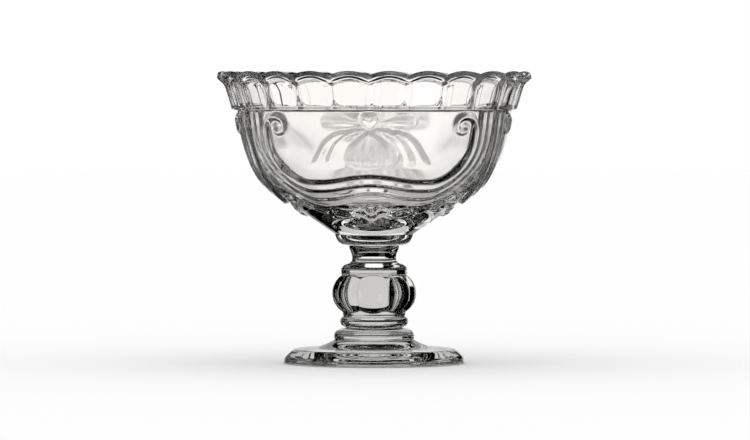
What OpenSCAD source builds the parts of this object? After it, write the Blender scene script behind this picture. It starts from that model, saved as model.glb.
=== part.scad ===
// Footed sundae dish in clear pressed glass.
// A scalloped, fluted bowl with three reeded scroll panels is fused by a wafer
// to a stem with a lobed knop, which stands on a low spreading foot.
// All sizes are in millimetres; the dish stands on z = 0 and the front panel faces -Y.

/* [Overall] */
// Overall height to the tips of the rim scallops
dish_h = 102; // [98:0.5:108]
// Diameter over the lip of the rim
rim_d = 110; // [108:0.5:114]
// Diameter of the foot
foot_d = 63.6; // [58:0.2:72]

/* [Bowl] */
// Thickness of the bowl wall at the bottom of the fluted band
wall_t = 2.5; // [2.4:0.1:3.2]
// Thickness of glass between the inside of the bowl and the wafer
floor_t = 5.6; // [4.5:0.1:7]
// Height of the fluted band with its lip
band_h = 13.6; // [12.6:0.1:15]
// How far the fluted band stands out from the wall below it
band_step = 2; // [1.6:0.1:2.6]
// Number of flutes and scallops round the rim
flutes = 24; // [18:3:30]
// Depth of each flute
flute_depth = 0.9; // [0.5:0.05:1.3]
// Drop from the top of a scallop to the notch beside it
scallop_drop = 1.5; // [0.8:0.1:2]

/* [Scroll panels] */
// Height of each reed above the wall
reed_h = 1.4; // [0.8:0.05:1.5]
// Half angle of the panel inside its frame, in degrees
panel_half = 47; // [44:0.5:48]
// Height of the panel from the foot of the band to the frame below
panel_h = 23.9; // [22:0.1:25]
// Rise of the small cusp in the middle of the frame
cusp_h = 1.9; // [0.5:0.1:2.5]
// Height of the raised leaves, bud and garland
relief_h = 1; // [0.5:0.05:1.2]

/* [Stem and foot] */
// Diameter of the wafer that joins bowl and stem
wafer_d = 27.6; // [25.6:0.2:29]
// Thickness of the wafer
wafer_t = 3.9; // [3.2:0.1:4.6]
// Height of the stem between wafer and foot
stem_h = 28.8; // [27:0.1:31]
// Diameter over the lobes of the knop
knop_d = 29.4; // [28:0.2:31]
// Number of lobes round the knop
lobes = 8; // [6:1:10]
// Height of the foot up to the stem
foot_h = 12.4; // [11.4:0.1:14]
// Height of the hollow under the foot
hollow_h = 2.4; // [1.6:0.1:3]

/* [View] */
// Piece to draw

/* [Hidden] */
glass = [0.82, 0.9, 0.9, 0.55];
round_fn = 48;
inside_fn = 36;
// Scroll panels round the bowl, and reeds that frame each of them
panels = 3;
reeds = 3;
// Heights of the faces where one piece is fused to the next
stem_z = foot_h;
wafer_z = stem_z + stem_h;
bowl_z = wafer_z + wafer_t;
band_z = dish_h - band_h;
// Radii that two pieces share where they meet
foot_seat_r = 9.6;
neck_r = 8.8;
pad_in = 0.2;
pad_r = wafer_d / 2 - pad_in;
// How far the wall under the fluted band stands in from the lip
wall_in = 6.8;
rim_r = rim_d / 2;
wall_r = rim_r - wall_in;
inner_r = wall_r - wall_t;
foot_r = foot_d / 2;
knop_r = knop_d / 2;

// Wall curve from the foot of the band down to the pad, as four control points:
// the two between its ends stand in from the wall by wall_lean and wall_belly
wall_drop = band_z - bowl_z;
wall_lean = 2.4;
wall_lean_at = 0.484;
wall_belly = 9.8;
wall_belly_at = 0.39;
wall_ctrl = [
    [wall_r, band_z],
    [wall_r - wall_lean, bowl_z + wall_drop * wall_lean_at],
    [wall_r - wall_belly, bowl_z + wall_drop * wall_belly_at],
    [pad_r, bowl_z]
];
// Inside curve from the foot of the band down to the middle of the bowl
floor_z = bowl_z + floor_t;
inner_drop = band_z - floor_z;
inner_lean = 1.7;
inner_lean_at = 0.57;
floor_wide = 0.61;
floor_rise = 0.8;
inner_ctrl = [
    [inner_r, band_z],
    [inner_r - inner_lean, band_z - inner_drop * inner_lean_at],
    [inner_r * floor_wide, floor_z + floor_rise],
    [0, floor_z]
];

function bezier(c, t) =
    c[0] * pow(1 - t, 3) + c[1] * 3 * t * pow(1 - t, 2) + c[2] * 3 * t * t * (1 - t) + c[3] * pow(t, 3);
function curve(c, steps, first = 0) = [for (i = [first : steps]) bezier(c, i / steps)];
function unit(v) = v / norm(v);
function reversed(list) = [for (i = [len(list) - 1 : -1 : 0]) list[i]];

// Radius of the plain wall at a height, and its slope, read from a table of the wall curve
table_steps = 60;
wall_table = [for (p = curve(wall_ctrl, table_steps)) [p[1], p[0]]];
function wall_at(z) = lookup(z, wall_table);
slope_step = 0.4;
function wall_slope(z) = (wall_at(z + slope_step) - wall_at(z - slope_step)) / (2 * slope_step);
// A place on the wall, from the angle round the bowl and the height
function on_wall(a, z) = [wall_at(z) * sin(a), -wall_at(z) * cos(a), z];
function out_of_wall(a, z) = unit([sin(a), -cos(a), -wall_slope(z)]);
// Degrees round the bowl for one millimetre at the height of the scrolls
scroll_z = band_z - 5.4;
deg_mm = 180 / (PI * wall_at(scroll_z));

// Frame of a panel: flat bottom with a cusp, rounded corner, upright side
// k counts reeds outwards from the edge of the panel, so k = 0.5 runs along the first reed
corner_a = panel_half * 0.66;
corner_z = band_z - panel_h * 0.477;
frame_low = band_z - panel_h;
reed_pitch = 3.15;
reed_fall = 2.75;
cusp_a = corner_a * 0.84;
bottom_steps = 5;
corner_step = 18;
scroll_gap = 1.4;
function cusp(a) = a < cusp_a ? cusp_h * (1 + cos(180 * a / cusp_a)) / 2 : 0;
function side_of(k) = panel_half + k * reed_pitch * deg_mm;
function low_of(k) = frame_low - k * reed_fall;
function frame_half(k) = concat(
    [for (i = [0 : bottom_steps - 1]) let (a = corner_a * i / bottom_steps) [a, low_of(k) + cusp(a)]],
    [
        for (b = [0 : corner_step : 90]) [
            corner_a + (side_of(k) - corner_a) * sin(b),
            corner_z - (corner_z - low_of(k)) * cos(b)
        ]
    ],
    [for (z = [scroll_z - scroll_gap, scroll_z + scroll_gap, band_z + sink]) [side_of(k), z]]
);
function frame_path(k) =
    let (half = frame_half(k))
    concat(
        [for (i = [len(half) - 1 : -1 : 1]) [-half[i][0], half[i][1]]],
        half
    );

// The reeds of one panel as a single ribbed band laid on the wall
reed_cuts = [0, 0.28, 0.72];
cusp_share = 0.15;
sink = 1;
function reed_swell(k) = let (f = k - floor(k)) max(cusp_share, 1 - pow(2 * f - 1, 4));
module reed_band() {
    cuts = concat([for (i = [0 : reeds - 1]) for (c = reed_cuts) i + c], [reeds]);
    m = len(cuts);
    ring = m + 2;
    paths = [for (k = cuts) frame_path(k)];
    n = len(paths[0]);
    points = [
        for (i = [0 : n - 1])
        for (j = [0 : ring - 1])
        let (
            k = j < m ? j : j == m ? m - 1 : 0,
            p = paths[k][i],
            into_scroll = cuts[k] < 1 && p[1] > scroll_z,
            high = j >= m || into_scroll ? -sink * (j >= m ? 1 : 0.5) : reed_h * reed_swell(cuts[k])
        )
        on_wall(p[0], p[1]) + out_of_wall(p[0], p[1]) * high
    ];
    faces = [for (f = tube_faces(n, ring)) reversed(f)];
    polyhedron(points = points, faces = faces, convexity = 8);
}
// Faces of a tube of n rings with the same count of points, closed at both ends
function tube_faces(n, ring) = concat(
    [
        for (i = [0 : n - 2])
        for (j = [0 : ring - 1])
        for (t = [0, 1])
        let (a = i * ring + j, b = i * ring + (j + 1) % ring)
        t == 0 ? [a, b, a + ring] : [b, b + ring, a + ring]
    ],
    [[for (j = [ring - 1 : -1 : 0]) j], [for (j = [0 : ring - 1]) (n - 1) * ring + j]]
);

// One raised rib along a path of [angle, height] places, sunk a little into the wall
rib_sides = 3;
module raised(path, half_w, heights) {
    n = len(path);
    ring = rib_sides + 3;
    places = [for (p = path) on_wall(p[0], p[1])];
    normals = [for (p = path) out_of_wall(p[0], p[1])];
    points = [
        for (i = [0 : n - 1])
        let (
            along = unit(places[min(i + 1, n - 1)] - places[max(i - 1, 0)]),
            across = unit(cross(along, normals[i]))
        )
        for (j = [0 : ring - 1])
        let (b = 180 * j / rib_sides)
        j <= rib_sides
            ? places[i] + across * half_w[i] * cos(b) + normals[i] * heights[i] * sin(b)
            : places[i] + across * half_w[i] * (j == ring - 1 ? 1 : -1) - normals[i] * sink
    ];
    polyhedron(points = points, faces = tube_faces(n, ring), convexity = 6);
}

// A raised patch of the wall between two edges, given by their angles at each height
drape_cuts = [1, 0.88, 0.5, 0.12, 0];
drape_share = [0, 1, 0.75, 1, 0];
module drape(levels, edge_a, edge_b, high) {
    top = len(drape_cuts);
    ring = 2 * top;
    points = [
        for (i = [0 : len(levels) - 1])
        for (j = [0 : ring - 1])
        let (
            k = j < top ? j : ring - 1 - j,
            a = edge_a[i] + (edge_b[i] - edge_a[i]) * drape_cuts[k],
            out = j < top ? high * drape_share[k] : -sink
        )
        on_wall(a, levels[i]) + out_of_wall(a, levels[i]) * out
    ];
    polyhedron(points = points, faces = tube_faces(len(levels), ring), convexity = 6);
}

// Scroll that the first reed winds into, towards the inside of the panel
scroll_r = 4.2;
scroll_end_r = 0.8;
scroll_turn = 420;
scroll_step = 42;
scroll_wide = 1.25 * deg_mm;
scroll_thin = 0.55;
scroll_tail = 2.6;
module scroll(side) {
    path = concat(
        [[side * side_of(0.5), scroll_z - scroll_tail]],
        [
            for (b = [0 : scroll_step : scroll_turn])
            let (r = scroll_r + (scroll_end_r - scroll_r) * b / scroll_turn)
            [side * (side_of(0.5) - scroll_wide * (scroll_r - r * cos(b))), scroll_z + r * sin(b)]
        ]
    );
    n = len(path) - 1;
    thin = [for (i = [0 : n]) 1 - scroll_thin * i / n];
    raised(path, reed_pitch / 2 * thin, reed_h * thin);
}

// A round or oval fruit lying between two places on the wall
fruit_fn = 6;
module fruit(from, to, ball_r, high) {
    hull()
    for (p = [from, to])
        translate(on_wall(p[0], p[1]) + out_of_wall(p[0], p[1]) * (high - ball_r))
            sphere(ball_r, $fn = fruit_fn);
}

// Bud, drooping leaves and bow inside the frame of one panel
// The edges of bud and leaves are angles from the middle of the panel at drops below the tip of the bud
bud_z = frame_low + 17;
bud_drop = [13.8, 12.4, 9.4, 4.6, 0.2];
bud_edge = [2.4, 8.6, 11, 8.2, 0.6];
droop_drop = [13.2, 11.4, 8, 3.8, 0.6];
droop_in = [9.4, 11.8, 12, 9, 2.6];
droop_out = [33, 28.8, 25, 20.8, 12.6];
bow_path = [[4.6, 2.2], [11, 3], [17.4, 2.9], [20, 2.7]];
bow_half_w = [0.7, 1.8, 2.3, 0.9];
bow_share = [0.4, 0.6, 0.6, 0.3];
bud_share = 0.8;
droop_share = 0.6;
module panel_leaves() {
    bud_levels = [for (d = bud_drop) bud_z - d];
    droop_levels = [for (d = droop_drop) bud_z - d];
    drape(bud_levels, -bud_edge, bud_edge, relief_h * bud_share);
    drape(droop_levels, droop_in, droop_out, relief_h * droop_share);
    drape(droop_levels, -droop_out, -droop_in, relief_h * droop_share);
    for (side = [-1, 1]) {
        path = [for (p = bow_path) [side * p[0], bud_z + p[1]]];
        raised(path, bow_half_w, relief_h * bow_share);
    }
}

// Garland under the frame: rosette, fruits and the spray that hangs between two panels
// Each fruit has its first place, its last place, the radius of its ends and its share of the relief,
// and its places are angles and heights from the middle of the rosette
rosette_z = bowl_z + 7.2;
petals = 5;
petal_r = 2.4;
petal_a = [4, 10];
petal_rise = [1, 2.7];
petal_share = 1.2;
middle_fruits = [
    [[-1.4, 6.2], [1.4, 6.2], 1.5, 1],
    [[-1, 0], [1, 0], 2.2, 1.7]
];
side_fruits = [
    [[22.4, 0.3], [27, 0.7], 2.6, 1.2],
    [[38, 1.4], [43, 2.4], 1.8, 1],
    [[48.4, 3.1], [53, 4.3], 1.8, 1]
];
spray_fruits = [
    [[-3, 5.6], [3, 5.6], 2.8, 1.2],
    [[0, 10.6], [0, 13.2], 1.6, 1],
    [[0, 16.4], [0, 18.6], 1.3, 1]
];
module hang(fruits, side, turn) {
    for (f = fruits) {
        ends = [for (p = [f[0], f[1]]) [turn + side * p[0], rosette_z + p[1]]];
        fruit(ends[0], ends[1], f[2], relief_h * f[3]);
    }
}
module garland() {
    hang(middle_fruits, 1, 0);
    hang(side_fruits, 1, 0);
    hang(side_fruits, -1, 0);
    for (p = [0 : petals - 1]) {
        b = 360 * p / petals;
        fruit(
            [petal_a[0] * sin(b), rosette_z + petal_rise[0] * cos(b)],
            [petal_a[1] * sin(b), rosette_z + petal_rise[1] * cos(b)],
            petal_r, relief_h * petal_share
        );
    }
}
spray_a = 180 / panels;
module spray() {
    hang(spray_fruits, 1, spray_a);
}

// Lip and fluted band, drawn as one profile outside the inner wall
lip_h = 3;
lip_t = 4.2;
lip_in = 1.9;
lip_edge = 0.9;
band_edge = 0.9;
band_round = 0.7;
band_foot_r = wall_r + band_step;
lip_foot_r = rim_r - lip_in;
outside_steps = 8;
inside_steps = 7;
module bowl_outside() {
    band = [
        [0, dish_h],
        [rim_r, dish_h],
        [rim_r, dish_h - lip_edge],
        [lip_foot_r, dish_h - lip_h],
        [band_foot_r, band_z + band_edge],
        [band_foot_r - band_round, band_z + band_edge / 3]
    ];
    polygon(concat(band, curve(wall_ctrl, outside_steps), [[0, bowl_z]]));
}
module bowl_inside() {
    mouth = [
        [0, dish_h + 1],
        [rim_r - lip_t, dish_h + 1],
        [rim_r - lip_t, dish_h],
        [lip_foot_r - lip_t, dish_h - lip_h]
    ];
    polygon(concat(mouth, curve(inner_ctrl, inside_steps)));
}

// One flute: a shallow scoop with an arched top, cut into the outside of the band
// Its rows run from under the band to the top of the arch, each with its share of the width
flute_half = 180 / flutes;
ridge_in = 0.2;
arch_h = 1.9;
arch_rise = 1.1;
flute_wide = [1.02, 1.02, 0.71, 0.3];
module flute_cutter() {
    flare = (lip_foot_r - band_foot_r) / (band_h - lip_h - band_edge);
    top = dish_h - lip_h + arch_rise;
    rows = [band_z - 0.5, top - arch_h, top - arch_h * 0.3, top];
    wide = flute_wide;
    across = 4;
    near = [
        for (i = [0 : len(rows) - 1])
        for (j = [0 : across])
        let (
            a = flute_half * wide[i] * (2 * j / across - 1),
            line = band_foot_r + flare * (rows[i] - band_z - band_edge),
            r = line - ridge_in - flute_depth * (1 - pow(a / flute_half, 2))
        )
        [r * sin(a), -r * cos(a), rows[i]]
    ];
    far = [
        for (i = [0 : len(rows) - 1])
        for (j = [0 : across])
        let (a = flute_half * wide[i] * (2 * j / across - 1), r = rim_r + 3)
        [r * sin(a), -r * cos(a), rows[i]]
    ];
    w = across + 1;
    n = len(near);
    last = n - w;
    sheets = [
        for (i = [0 : len(rows) - 2])
        for (j = [0 : across - 1])
        for (t = [0 : 3])
        let (a = i * w + j)
        t == 0 ? [a, a + 1, a + w]
        : t == 1 ? [a + 1, a + w + 1, a + w]
        : t == 2 ? [n + a + w, n + a + 1, n + a]
        : [n + a + w, n + a + w + 1, n + a + 1]
    ];
    caps = [
        for (j = [0 : across - 1])
        for (t = [0 : 3])
        t == 0 ? [n + j, n + j + 1, j]
        : t == 1 ? [n + j + 1, j + 1, j]
        : t == 2 ? [last + j, last + j + 1, n + last + j]
        : [last + j + 1, n + last + j + 1, n + last + j]
    ];
    cheeks = [
        for (i = [0 : len(rows) - 2])
        for (t = [0 : 3])
        let (a = i * w, b = i * w + across)
        t == 0 ? [a, a + w, n + a]
        : t == 1 ? [a + w, n + a + w, n + a]
        : t == 2 ? [n + b, b + w, b]
        : [n + b, n + b + w, b + w]
    ];
    polyhedron(points = concat(near, far), faces = concat(sheets, caps, cheeks), convexity = 4);
}

// Everything above the arched tops of the scallops
module scallop_cutter() {
    half_chord = rim_r * tan(flute_half);
    scallop_r = (pow(half_chord, 2) + pow(scallop_drop, 2)) / (2 * scallop_drop);
    difference() {
        translate([0, 0, dish_h - scallop_drop * 1.5])
            cylinder(h = scallop_drop * 3, r = rim_r + 2, $fn = round_fn);
        for (i = [0 : flutes - 1])
            rotate([0, 0, (i + 0.5) * 360 / flutes])
                translate([0, 0, dish_h - scallop_r])
                    rotate([90, 0, 0])
                        cylinder(h = rim_r + 4, r = scallop_r, $fn = round_fn);
    }
}

module bowl() {
    color(glass)
    union() {
        difference() {
            rotate_extrude($fn = round_fn)
                bowl_outside();
            rotate_extrude($fn = inside_fn)
                bowl_inside();
            for (i = [0 : flutes - 1])
                rotate([0, 0, (i + 0.5) * 360 / flutes])
                    flute_cutter();
            scallop_cutter();
        }
        for (i = [0 : panels - 1])
            rotate([0, 0, i * 360 / panels]) {
                reed_band();
                scroll(-1);
                scroll(1);
                panel_leaves();
                garland();
                spray();
            }
    }
}

// Wafer of glass that joins the bowl to the stem, rounded off below
wafer_seat = 0.4;
wafer_round = 1.2;
wafer_lean = 0.7;
wafer_swell = 2;
wafer_steps = 10;
module joining_wafer() {
    side = curve([
        [neck_r + wafer_seat, wafer_z],
        [wafer_d / 2 - wafer_round, wafer_z],
        [wafer_d / 2 - wafer_lean, wafer_z + wafer_swell],
        [wafer_d / 2, bowl_z]
    ], wafer_steps);
    color(glass)
    rotate_extrude($fn = round_fn)
        polygon(concat([[0, wafer_z]], side, [[0, bowl_z]]));
}

// Stem: waisted neck, cove, domed shoulder, core of the knop with a bead below it
waist_r = neck_r - 1.1;
waist_z = wafer_z - 4.4;
cove_r = waist_r + 2.1;
cove_z = wafer_z - 6.6;
shoulder_r = neck_r + 2.8;
shoulder_z = stem_z + stem_h * 0.69;
shoulder_h = 1.2;
core_r = shoulder_r - 0.4;
knop_z = stem_z + stem_h * 0.417;
bead_z = stem_z + 2.2;
bead_r = 1.9;
bead_out = 0.3;
lobe_arc_r = 7.6;
lobe_at_r = knop_r * 0.53;
stem_steps = 6;
module stem_profile() {
    neck = curve([
        [neck_r, wafer_z],
        [neck_r, wafer_z - 2],
        [waist_r, waist_z + 1.8],
        [waist_r, waist_z]
    ], stem_steps);
    cove = curve([
        [waist_r, waist_z],
        [waist_r, waist_z - 1.2],
        [cove_r - 1.6, cove_z + 0.4],
        [cove_r, cove_z]
    ], stem_steps, 1);
    dome = curve([
        [cove_r, cove_z],
        [cove_r + 1.1, cove_z - 0.4],
        [shoulder_r, cove_z - 1.1],
        [shoulder_r, shoulder_z]
    ], stem_steps, 1);
    core = [
        [shoulder_r, shoulder_z - shoulder_h],
        [core_r, shoulder_z - shoulder_h * 1.5],
        [core_r, knop_z],
        [core_r - 0.5, bead_z + bead_r],
        [core_r - 1, bead_z],
        [foot_seat_r, stem_z]
    ];
    polygon(concat([[0, wafer_z]], neck, cove, dome, core, [[0, stem_z]]));
}
module stem() {
    color(glass)
    union() {
        rotate_extrude($fn = round_fn)
            stem_profile();
        rotate_extrude($fn = round_fn)
            translate([shoulder_r + bead_out - bead_r, bead_z])
                circle(bead_r, $fn = round_fn);
        for (i = [0 : lobes - 1])
            rotate([0, 0, i * 360 / lobes])
                translate([0, -lobe_at_r, knop_z])
                    rotate_extrude($fn = round_fn)
                        intersection() {
                            translate([knop_r - lobe_at_r - lobe_arc_r, 0])
                                circle(lobe_arc_r, $fn = 2 * round_fn);
                            translate([0, -lobe_arc_r])
                                square([lobe_arc_r, 2 * lobe_arc_r]);
                        }
    }
}

// Foot: cushion collar, sweep out to a flat top, bevelled edge, hollow underside
collar_r = foot_seat_r + 4.9;
edge_h = 1.6;
edge_in = 4.4;
rest_in = 2;
rest_w = 3.4;
module foot() {
    top_z = foot_h * 0.4;
    collar = curve([
        [foot_seat_r, foot_h],
        [collar_r - 2, foot_h - 0.1],
        [collar_r + 0.4, foot_h - 1.6],
        [collar_r - 0.7, foot_h - 4.1]
    ], 8);
    sweep = curve([
        [collar_r - 0.3, foot_h - 4.4],
        [collar_r + 3, foot_h - 6.4],
        [collar_r + 6, top_z + 0.2],
        [foot_r - edge_in, top_z]
    ], 10);
    edge = curve([
        [foot_r - edge_in + 0.3, top_z],
        [foot_r - edge_in + 1.6, top_z - 0.2],
        [foot_r - 0.6, edge_h + 1],
        [foot_r, edge_h]
    ], 6);
    under = curve([
        [foot_r - rest_in - rest_w, 0],
        [foot_r - rest_in - rest_w - 8, hollow_h],
        [foot_r * 0.3, hollow_h],
        [0, hollow_h]
    ], 10);
    color(glass)
    rotate_extrude($fn = round_fn)
        polygon(concat(
            [[0, foot_h]], collar, sweep, edge,
            [[foot_r, edge_h - 0.9], [foot_r - 0.5, 0.25], [foot_r - rest_in, 0]],
            under
        ));
}

bowl();
joining_wafer();
stem();
foot();
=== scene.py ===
"""Looks of a footed sundae dish in clear pressed glass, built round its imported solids."""

import logging
import math
from dataclasses import dataclass, field
from enum import Enum
from typing import Any, Sequence

import bmesh
import bpy
import numpy as np
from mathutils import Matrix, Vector


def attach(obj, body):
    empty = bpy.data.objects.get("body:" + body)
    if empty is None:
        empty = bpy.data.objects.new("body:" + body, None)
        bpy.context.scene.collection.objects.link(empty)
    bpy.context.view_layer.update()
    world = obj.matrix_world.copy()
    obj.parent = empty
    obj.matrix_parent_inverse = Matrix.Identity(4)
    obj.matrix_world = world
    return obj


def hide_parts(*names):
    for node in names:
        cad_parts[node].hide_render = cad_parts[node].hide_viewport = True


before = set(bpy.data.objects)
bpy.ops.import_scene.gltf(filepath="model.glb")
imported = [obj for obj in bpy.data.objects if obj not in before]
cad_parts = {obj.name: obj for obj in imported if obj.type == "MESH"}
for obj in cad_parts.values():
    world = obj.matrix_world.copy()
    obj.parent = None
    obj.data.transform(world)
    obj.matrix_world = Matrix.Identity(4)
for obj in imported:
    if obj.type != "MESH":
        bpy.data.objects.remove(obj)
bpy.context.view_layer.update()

LOG = logging.getLogger("sundae_dish")
MM = 0.001
BODY = "root"
AXIS = (0.0, 0.0, 1.0)
# First ring of faces round the axis and the step between rings on a flat disc, in millimetres
HUB = 1.0
DISC_STEP = 3.0
Profile = list[tuple[float, float]]


def linear(hex_colour: str) -> tuple[float, float, float, float]:
    """Turns an sRGB hex colour into linear RGBA.

    Args:
        hex_colour: Colour such as "#f4f6f5".

    Returns:
        The four linear channels.
    """
    shares = [int(hex_colour[i : i + 2], 16) / 255 for i in (1, 3, 5)]
    red, green, blue = [s / 12.92 if s <= 0.04045 else ((s + 0.055) / 1.055) ** 2.4 for s in shares]
    return (red, green, blue, 1.0)


def add_node(
    tree: bpy.types.NodeTree,
    kind: str,
    settings: dict[Any, Any] | None = None,
    links: dict[Any, bpy.types.NodeSocket] | None = None,
) -> bpy.types.Node:
    """Adds one node with its settings and the links that feed it.

    Args:
        tree: Node tree that takes the node.
        kind: Blender's name for the type of node.
        settings: Socket values, by socket name or number, and properties by name.
        links: Output sockets of other nodes, by the name or number of the input they feed.

    Returns:
        The new node.
    """
    node = tree.nodes.new(kind)
    for name, value in (settings or {}).items():
        if isinstance(name, int) or name in node.inputs:
            node.inputs[name].default_value = value
        else:
            setattr(node, name, value)
    for name, source in (links or {}).items():
        tree.links.new(source, node.inputs[name])
    return node


def empty_tree(owner: bpy.types.Material | bpy.types.World) -> bpy.types.NodeTree:
    """Gives a material or world a node tree with nothing in it.

    Args:
        owner: The material or world.

    Returns:
        The empty tree.
    """
    owner.use_nodes = True
    owner.node_tree.nodes.clear()
    return owner.node_tree


def smooth_step(low: float, high: float, value: np.ndarray) -> np.ndarray:
    """Rises smoothly from 0 at low to 1 at high.

    Args:
        low: Value at which the step begins.
        high: Value at which it is complete.
        value: Where to read it.

    Returns:
        Shares from 0 to 1.
    """
    share = np.clip((value - low) / (high - low), 0.0, 1.0)
    return share * share * (3.0 - 2.0 * share)


def bezier(*control: tuple[float, float], count: int = 40) -> np.ndarray:
    """Samples a cubic curve.

    Args:
        control: Four control points.
        count: Number of points, ends included.

    Returns:
        Array of points, one a row.
    """
    t = np.linspace(0.0, 1.0, count)[:, None]
    a, b, c, d = np.array(control, float)
    return a * (1 - t) ** 3 + 3 * b * t * (1 - t) ** 2 + 3 * c * t * t * (1 - t) + d * t**3


def spaced(line: np.ndarray | Profile, step: float) -> np.ndarray:
    """Places points at even distances along a line.

    Args:
        line: Points of the line in order.
        step: About how far apart the new points are.

    Returns:
        Array of points that starts and ends where the line does.
    """
    points = np.array(line, float)
    run = np.concatenate([[0.0], np.cumsum(np.hypot(*np.diff(points, axis=0).T))])
    at = np.linspace(0.0, run[-1], max(2, int(round(run[-1] / step)) + 1))
    return np.column_stack([np.interp(at, run, points[:, i]) for i in (0, 1)])


def rows_of(*stretches: np.ndarray | Profile) -> Profile:
    """Joins stretches of a profile and drops points that repeat.

    Args:
        stretches: Parts of the profile in order, as radius and height in millimetres.

    Returns:
        The whole profile.
    """
    rows: Profile = []
    for stretch in stretches:
        for radius, height in stretch:
            if not rows or math.hypot(radius - rows[-1][0], height - rows[-1][1]) > 0.01:
                rows.append((float(radius), float(height)))
    return rows


class Finish(Enum):
    """Materials of the dish, in the order of the slots on each piece."""

    GLASS = 0
    FUSED = 1
    INSIDE = 2


@dataclass(frozen=True)
class Surface:
    """Finish of a surface, named for its material and how that was made."""

    name: str

    def shader(self, tree: bpy.types.NodeTree) -> bpy.types.NodeSocket:
        """Adds the nodes of the finish and gives the socket that its light leaves by."""
        raise NotImplementedError

    def build(self) -> bpy.types.Material:
        """Makes the material.

        Returns:
            The new material.
        """
        material = bpy.data.materials.new(self.name)
        tree = empty_tree(material)
        add_node(tree, "ShaderNodeOutputMaterial", {}, {"Surface": self.shader(tree)})
        return material


@dataclass(frozen=True)
class PressedGlass(Surface):
    """Soda-lime glass, pressed in an iron mould and fire polished.

    The mould leaves slow waves that bend what shows through the wall, the flame leaves a wet gloss,
    and the ring that the dish stands on is scuffed from use. Inside the bowl, spoons have left a haze of
    fine scratches, which softens what shows through the far wall.
    """

    name: str = "pressed_clear_glass"
    tint: str = "#fefdfb"
    ior: float = 1.52
    wave_mm: float = 9.0
    wave_high_mm: float = 0.02
    haze: float = 0.0
    haze_foot_mm: tuple[float, float] = (60.0, 67.0)
    haze_top_mm: tuple[float, float] = (90.0, 88.2)
    scuff_mm: float = 0.35
    scuff_grain_mm: float = 0.6
    scuff_rough: float = 0.06

    def shader(self, tree: bpy.types.NodeTree) -> bpy.types.NodeSocket:
        """Adds the waves, the scuffed ring and the haze to clear glass.

        Args:
            tree: Node tree of the material.

        Returns:
            The socket of the glass.
        """
        place = {"Vector": add_node(tree, "ShaderNodeTexCoord").outputs["Object"]}
        waves = add_node(
            tree,
            "ShaderNodeTexNoise",
            {"Scale": 1.0 / (self.wave_mm * MM), "Detail": 1.5, "Roughness": 0.4},
            place,
        )
        bump = add_node(
            tree,
            "ShaderNodeBump",
            {"Strength": 1.0, "Distance": self.wave_high_mm * MM},
            {"Height": waves.outputs["Fac"]},
        )
        # Fine scratches on the standing ring only, where glass rubs on the table
        height = add_node(tree, "ShaderNodeSeparateXYZ", {}, place)
        low = add_node(
            tree,
            "ShaderNodeMapRange",
            {"From Min": self.scuff_mm * MM, "From Max": 0.0},
            {"Value": height.outputs["Z"]},
        )
        grain = add_node(
            tree, "ShaderNodeTexNoise", {"Scale": 1.0 / (self.scuff_grain_mm * MM), "Detail": 2.0}, place
        )
        scuff = add_node(
            tree,
            "ShaderNodeMath",
            {"operation": "MULTIPLY"},
            {0: low.outputs["Result"], 1: grain.outputs["Fac"]},
        )
        # Spoon marks lie where a spoon turns in the bowl, above its floor and below its band
        zone = [
            add_node(
                tree,
                "ShaderNodeMapRange",
                {"From Min": off * MM, "From Max": full * MM},
                {"Value": height.outputs["Z"]},
            )
            for off, full in (self.haze_foot_mm, self.haze_top_mm)
        ]
        marks = add_node(
            tree,
            "ShaderNodeMath",
            {"operation": "MULTIPLY"},
            {i: edge.outputs["Result"] for i, edge in enumerate(zone)},
        )
        worn = add_node(
            tree, "ShaderNodeMath", {"operation": "MULTIPLY", 1: self.haze}, {0: marks.outputs["Value"]}
        )
        rough = add_node(
            tree,
            "ShaderNodeMath",
            {"operation": "MULTIPLY_ADD", 1: self.scuff_rough},
            {0: scuff.outputs["Value"], 2: worn.outputs["Value"]},
        )
        glass = add_node(
            tree,
            "ShaderNodeBsdfPrincipled",
            {"Base Color": linear(self.tint), "IOR": self.ior, "Transmission Weight": 1.0},
            {"Roughness": rough.outputs["Value"], "Normal": bump.outputs["Normal"]},
        )
        return glass.outputs["BSDF"]


@dataclass(frozen=True)
class FusedJoint(Surface):
    """Face where two gathers of hot glass ran together: nothing is left there for the eye to see."""

    name: str = "fused_glass_joint"

    def shader(self, tree: bpy.types.NodeTree) -> bpy.types.NodeSocket:
        """Lets all light straight through."""
        return add_node(tree, "ShaderNodeBsdfTransparent").outputs["BSDF"]


@dataclass(frozen=True)
class PaintedBoard(Surface):
    """Matt white emulsion on board, which lies under the dish as a plain pale floor."""

    name: str = "white_painted_board"
    colour: str = "#fefefe"

    def shader(self, tree: bpy.types.NodeTree) -> bpy.types.NodeSocket:
        """Paints the board without any gloss."""
        settings = {"Base Color": linear(self.colour), "Roughness": 1.0, "Specular IOR Level": 0.0}
        return add_node(tree, "ShaderNodeBsdfPrincipled", settings).outputs["BSDF"]


@dataclass(frozen=True)
class LitCard(Surface):
    """Card in the studio light, pale and even all over, which the stem and foot show as a soft grey."""

    name: str = "lit_white_card"
    colour: str = "#ffffff"
    level: float = 1.0

    def shader(self, tree: bpy.types.NodeTree) -> bpy.types.NodeSocket:
        """Lights the card evenly."""
        settings = {"Color": linear(self.colour), "Strength": self.level}
        return add_node(tree, "ShaderNodeEmission", settings).outputs["Emission"]


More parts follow.
